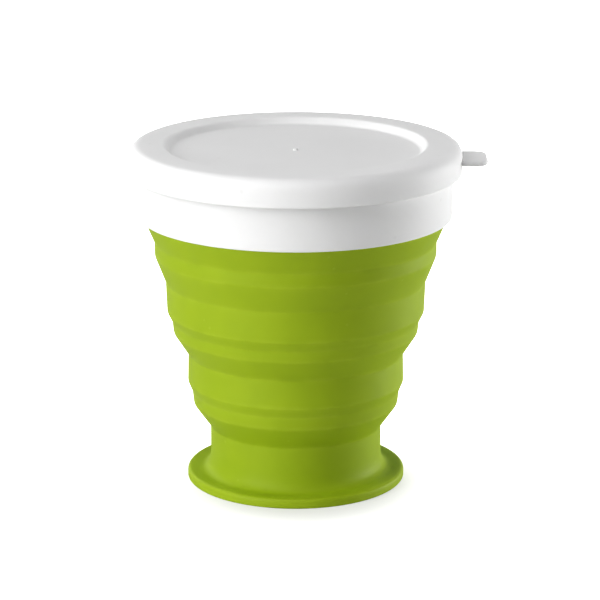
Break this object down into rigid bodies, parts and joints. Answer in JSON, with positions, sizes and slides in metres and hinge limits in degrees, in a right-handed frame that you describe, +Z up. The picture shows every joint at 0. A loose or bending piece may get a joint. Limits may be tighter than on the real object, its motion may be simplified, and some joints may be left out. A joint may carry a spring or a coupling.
{
  "type": "collapsible travel cup",
  "caption": "Collapsible drinking cup: stepped silicone wall that folds flat round its foot, plastic rim collar and press-on lid with a pull tab.",
  "frame": {"origin": "centre of the foot's flat underside, on the cup's axis", "axes": "+Z up the cup's axis from foot to lid, +X along the lid's pull tab, +Y completes the right-handed frame"},
  "size_m": [0.0902, 0.084, 0.0874],
  "materials": {
    "silicone": "matte",
    "collar_plastic": "satin",
    "lid_plastic": "satin"
  },
  "bodies": {
    "foot": {"foot_flange": "silicone", "neck_band": "silicone", "lower_fold": "silicone"},
    "lower_tier": {"lower_band": "silicone", "middle_fold": "silicone"},
    "middle_tier": {"middle_band": "silicone", "upper_fold": "silicone"},
    "rim": {"top_band": "silicone", "rim_collar": "collar_plastic"},
    "lid": {"lid": "lid_plastic"}
  },
  "joints": [
    {"name": "lower_fold_slide", "type": "slide", "parent": "foot", "child": "lower_tier", "axis": [0, 0, 1], "range_m": [-0.0193, 0], "deforming": ["lower_fold"]},
    {"name": "middle_fold_slide", "type": "slide", "parent": "lower_tier", "child": "middle_tier", "axis": [0, 0, 1], "range_m": [-0.019, 0], "deforming": ["middle_fold"]},
    {"name": "upper_fold_slide", "type": "slide", "parent": "middle_tier", "child": "rim", "axis": [0, 0, 1], "range_m": [-0.028, 0], "deforming": ["upper_fold"]},
    {"name": "lid_lift", "type": "slide", "parent": "rim", "child": "lid", "axis": [0, 0, 1], "range_m": [0, 0.04]}
  ]
}
